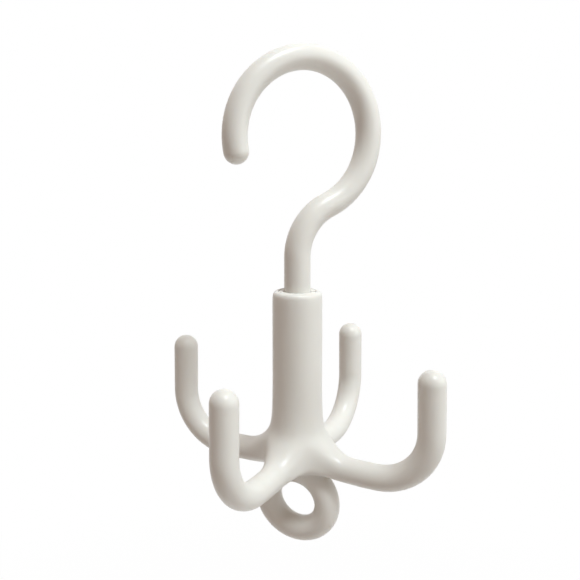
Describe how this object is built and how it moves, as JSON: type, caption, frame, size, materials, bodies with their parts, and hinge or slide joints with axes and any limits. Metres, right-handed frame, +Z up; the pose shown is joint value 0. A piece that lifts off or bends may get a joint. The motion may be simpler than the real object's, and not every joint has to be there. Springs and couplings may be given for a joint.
{
  "type": "rotating closet hook",
  "caption": "White plastic closet hook whose body with upturned claws and a lower eye swivels freely under a rail hook.",
  "frame": {"origin": "on the swivel axis, at the inner curve of the hook's loop, where the closet rail bears", "axes": "+Z up along the swivel axis; X in the plane of the hook's loop, which opens towards -X; Y across the loop, along the rail"},
  "size_m": [0.0964, 0.0964, 0.192],
  "materials": {
    "hook_plastic": "semi-gloss moulded white",
    "body_plastic": "semi-gloss moulded white",
    "collar_plastic": "satin moulded white"
  },
  "bodies": {
    "hook": {"top_hook": "hook_plastic"},
    "claws": {"claw_body": "body_plastic", "retaining_collar": "collar_plastic"}
  },
  "joints": [
    {"name": "swivel", "type": "hinge", "parent": "hook", "child": "claws", "pos_m": [0, 0, -0.0795], "axis": [0, 0, 1], "continuous": true}
  ]
}
